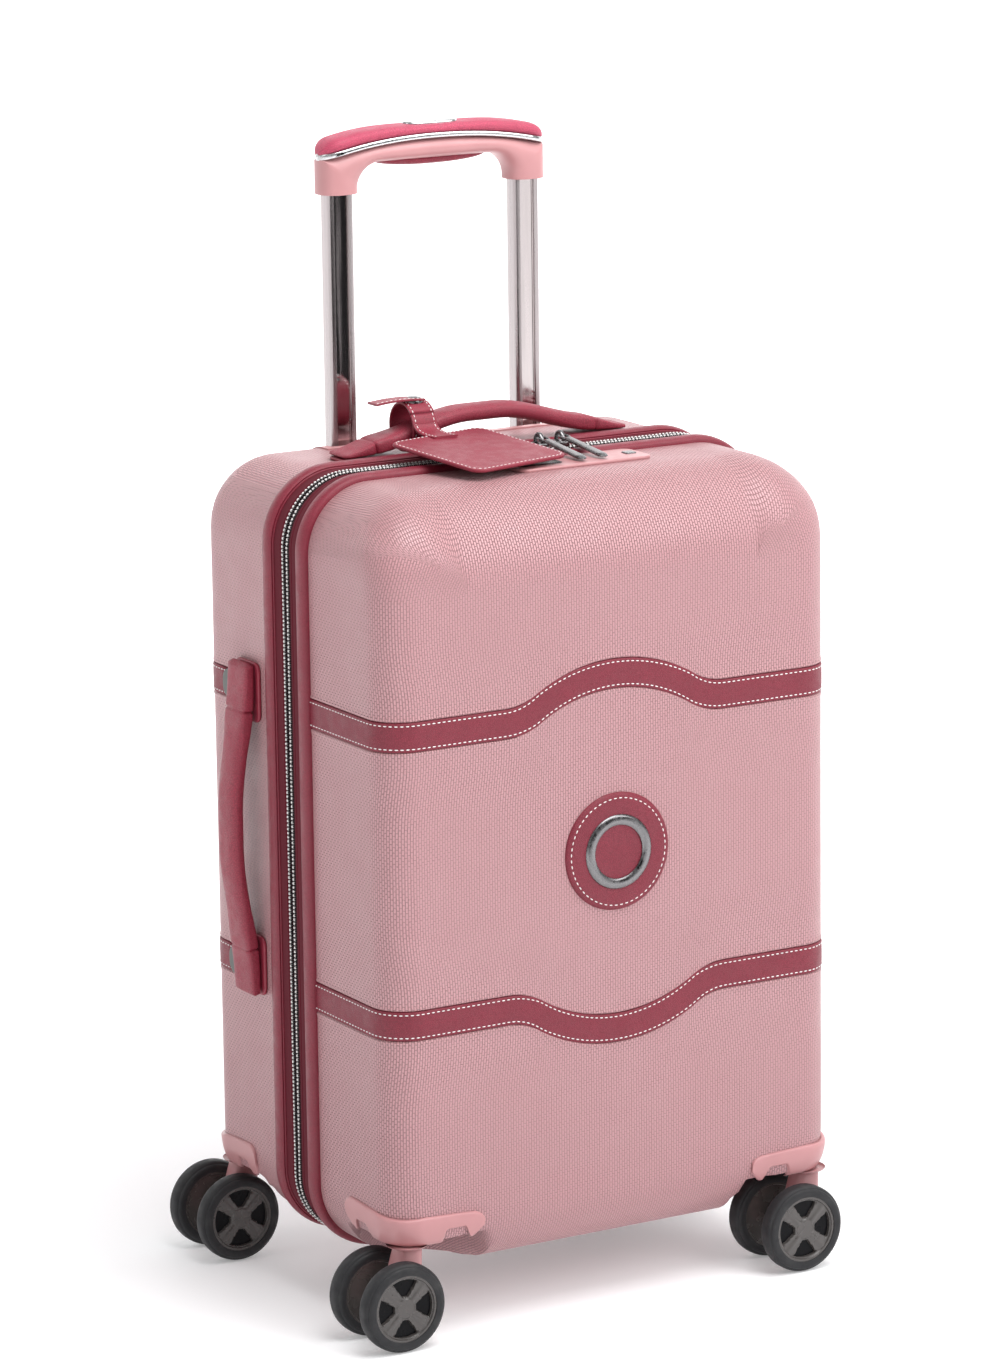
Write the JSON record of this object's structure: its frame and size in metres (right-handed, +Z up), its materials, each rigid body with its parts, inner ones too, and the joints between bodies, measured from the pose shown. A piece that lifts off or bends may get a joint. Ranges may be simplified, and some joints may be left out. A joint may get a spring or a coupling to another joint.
{
  "type": "hard shell suitcase on wheels",
  "caption": "Hard shell cabin suitcase that opens on a side hinge, with swivel casters, a telescopic pull handle, carry handles, zip, lock and luggage tag.",
  "frame": {"origin": "on the floor, midway between the four caster stems", "axes": "+Z up, -Y towards the front shell with the badge, -X towards the side carry handle, +X towards the hinge"},
  "size_m": [0.3712, 0.2772, 0.7555],
  "materials": {
    "shell_pink": "moulded polycarbonate sheet, fine embossed rib texture, soft sheen",
    "deep_rose_leather": "deep raspberry grained leather look with pale stitching",
    "rose_piping": "smooth stuffed edging in the same deep rose",
    "zip_tape_cloth": "woven zip tape",
    "zip_coil": "spiral zip coil",
    "lining_cloth": "plain woven lining",
    "matte_pink": "smooth matte moulding",
    "tyre_rubber": "dark charcoal tread",
    "wheel_grey": "gunmetal coloured moulding",
    "rose_aluminium": "anodised rose tube, satin",
    "gunmetal": "dark nickel, satin",
    "grip_red": "grained grip pad, brighter rose red",
    "mount_rose": "smooth moulding in the deep rose",
    "dial_white": "white number dials"
  },
  "bodies": {
    "back_case": {"back_shell": "shell_pink", "back_lining": "lining_cloth", "back_upper_band": "deep_rose_leather", "back_lower_band": "deep_rose_leather", "back_piping": "rose_piping", "back_zip_tape": "zip_tape_cloth", "back_zip_teeth": "zip_coil", "back_left_guard": "matte_pink", "back_right_guard": "matte_pink", "outer_tubes": "rose_aluminium", "tube_foot": "rose_aluminium", "handle_bezel": "matte_pink", "top_handle_mounts": "mount_rose", "side_handle_mounts": "mount_rose", "band_end_plates": "gunmetal", "hinge_gusset": "lining_cloth", "packing_straps": "lining_cloth"},
    "front_case": {"front_shell": "shell_pink", "front_lining": "lining_cloth", "front_upper_band": "deep_rose_leather", "front_lower_band": "deep_rose_leather", "front_piping": "rose_piping", "front_zip_tape": "zip_tape_cloth", "front_zip_teeth": "zip_coil", "front_left_guard": "matte_pink", "front_right_guard": "matte_pink", "badge_disc": "deep_rose_leather", "badge_ring": "gunmetal", "lock_plate": "matte_pink"},
    "lock_dial_1": {"lock_dial_1": "dial_white"},
    "lock_dial_2": {"lock_dial_2": "dial_white"},
    "lock_dial_3": {"lock_dial_3": "dial_white"},
    "lock_button": {"lock_button": "matte_pink"},
    "middle_tubes": {"middle_tubes": "rose_aluminium"},
    "pull_handle": {"inner_tubes": "rose_aluminium", "grip_body": "matte_pink", "grip_trim": "gunmetal", "grip_cover": "grip_red"},
    "grip_button": {"grip_button": "gunmetal"},
    "top_handle": {"top_handle": "deep_rose_leather"},
    "side_handle": {"side_handle": "deep_rose_leather"},
    "tag": {"tag_strap": "deep_rose_leather", "tag_card": "deep_rose_leather", "tag_snap": "gunmetal"},
    "left_zip_slider": {"left_zip_slider": "gunmetal"},
    "right_zip_slider": {"right_zip_slider": "gunmetal"},
    "left_zip_pull": {"left_zip_pull": "gunmetal"},
    "right_zip_pull": {"right_zip_pull": "gunmetal"},
    "front_left_fork": {"front_left_fork": "matte_pink"},
    "front_left_wheel_pair": {"front_left_tyres": "tyre_rubber", "front_left_wheels": "wheel_grey"},
    "front_right_fork": {"front_right_fork": "matte_pink"},
    "front_right_wheel_pair": {"front_right_tyres": "tyre_rubber", "front_right_wheels": "wheel_grey"},
    "back_left_fork": {"back_left_fork": "matte_pink"},
    "back_left_wheel_pair": {"back_left_tyres": "tyre_rubber", "back_left_wheels": "wheel_grey"},
    "back_right_fork": {"back_right_fork": "matte_pink"},
    "back_right_wheel_pair": {"back_right_tyres": "tyre_rubber", "back_right_wheels": "wheel_grey"}
  },
  "joints": [
    {"name": "case_open", "type": "hinge", "parent": "back_case", "child": "front_case", "pos_m": [0.174, 0.001, 0], "axis": [0, 0, 1], "range_deg": [0, 145]},
    {"name": "middle_tubes_slide", "type": "slide", "parent": "back_case", "child": "middle_tubes", "axis": [0, 0, 1], "range_m": [0, 0.21]},
    {"name": "pull_handle_slide", "type": "slide", "parent": "middle_tubes", "child": "pull_handle", "axis": [0, 0, 1], "range_m": [-0.203, 0.02]},
    {"name": "grip_button_press", "type": "slide", "parent": "pull_handle", "child": "grip_button", "axis": [0, 0, -1], "range_m": [0, 0.0025], "stiffness_N_per_m": 400, "springref_m": -0.002},
    {"name": "top_handle_draw", "type": "slide", "parent": "back_case", "child": "top_handle", "axis": [0, 0, 1], "range_m": [0, 0.008], "stiffness_N_per_m": 300, "springref_m": -0.002},
    {"name": "side_handle_draw", "type": "slide", "parent": "back_case", "child": "side_handle", "axis": [-1, 0, 0], "range_m": [0, 0.008], "stiffness_N_per_m": 300, "springref_m": -0.002},
    {"name": "tag_swing", "type": "hinge", "parent": "top_handle", "child": "tag", "pos_m": [-0.05, 0.0445, 0.5638], "axis": [-1, 0, 0], "range_deg": [0, 100]},
    {"name": "left_slider_run", "type": "slide", "parent": "front_case", "child": "left_zip_slider", "axis": [1, 0, 0], "range_m": [-0.004, 0]},
    {"name": "right_slider_run", "type": "slide", "parent": "front_case", "child": "right_zip_slider", "axis": [1, 0, 0], "range_m": [0, 0.08]},
    {"name": "left_pull_lift", "type": "hinge", "parent": "left_zip_slider", "child": "left_zip_pull", "pos_m": [0.02, 0.001, 0.5555], "axis": [-1, 0, 0], "range_deg": [0, 110]},
    {"name": "right_pull_lift", "type": "hinge", "parent": "right_zip_slider", "child": "right_zip_pull", "pos_m": [0.036, 0.001, 0.5555], "axis": [-1, 0, 0], "range_deg": [0, 110]},
    {"name": "lock_button_press", "type": "slide", "parent": "front_case", "child": "lock_button", "axis": [-1, 0, 0], "range_m": [0, 0.003], "stiffness_N_per_m": 300},
    {"name": "dial_1_turn", "type": "hinge", "parent": "front_case", "child": "lock_dial_1", "pos_m": [-0.02, -0.0445, 0.5424], "axis": [1, 0, 0], "continuous": true},
    {"name": "dial_2_turn", "type": "hinge", "parent": "front_case", "child": "lock_dial_2", "pos_m": [-0.009, -0.0445, 0.5424], "axis": [1, 0, 0], "continuous": true},
    {"name": "dial_3_turn", "type": "hinge", "parent": "front_case", "child": "lock_dial_3", "pos_m": [0.002, -0.0445, 0.5424], "axis": [1, 0, 0], "continuous": true},
    {"name": "front_left_swivel", "type": "hinge", "parent": "front_case", "child": "front_left_fork", "pos_m": [-0.1526, -0.1121, 0.0625], "axis": [0, 0, 1], "continuous": true},
    {"name": "front_left_roll", "type": "hinge", "parent": "front_left_fork", "child": "front_left_wheel_pair", "pos_m": [-0.1682, -0.1121, 0.0295], "axis": [0, 1, 0], "continuous": true},
    {"name": "front_right_swivel", "type": "hinge", "parent": "front_case", "child": "front_right_fork", "pos_m": [0.1526, -0.1121, 0.0625], "axis": [0, 0, 1], "continuous": true},
    {"name": "front_right_roll", "type": "hinge", "parent": "front_right_fork", "child": "front_right_wheel_pair", "pos_m": [0.137, -0.1121, 0.0295], "axis": [0, 1, 0], "continuous": true},
    {"name": "back_left_swivel", "type": "hinge", "parent": "back_case", "child": "back_left_fork", "pos_m": [-0.1526, 0.1121, 0.0625], "axis": [0, 0, 1], "continuous": true},
    {"name": "back_left_roll", "type": "hinge", "parent": "back_left_fork", "child": "back_left_wheel_pair", "pos_m": [-0.1682, 0.1121, 0.0295], "axis": [0, 1, 0], "continuous": true},
    {"name": "back_right_swivel", "type": "hinge", "parent": "back_case", "child": "back_right_fork", "pos_m": [0.1526, 0.1121, 0.0625], "axis": [0, 0, 1], "continuous": true},
    {"name": "back_right_roll", "type": "hinge", "parent": "back_right_fork", "child": "back_right_wheel_pair", "pos_m": [0.137, 0.1121, 0.0295], "axis": [0, 1, 0], "continuous": true}
  ]
}
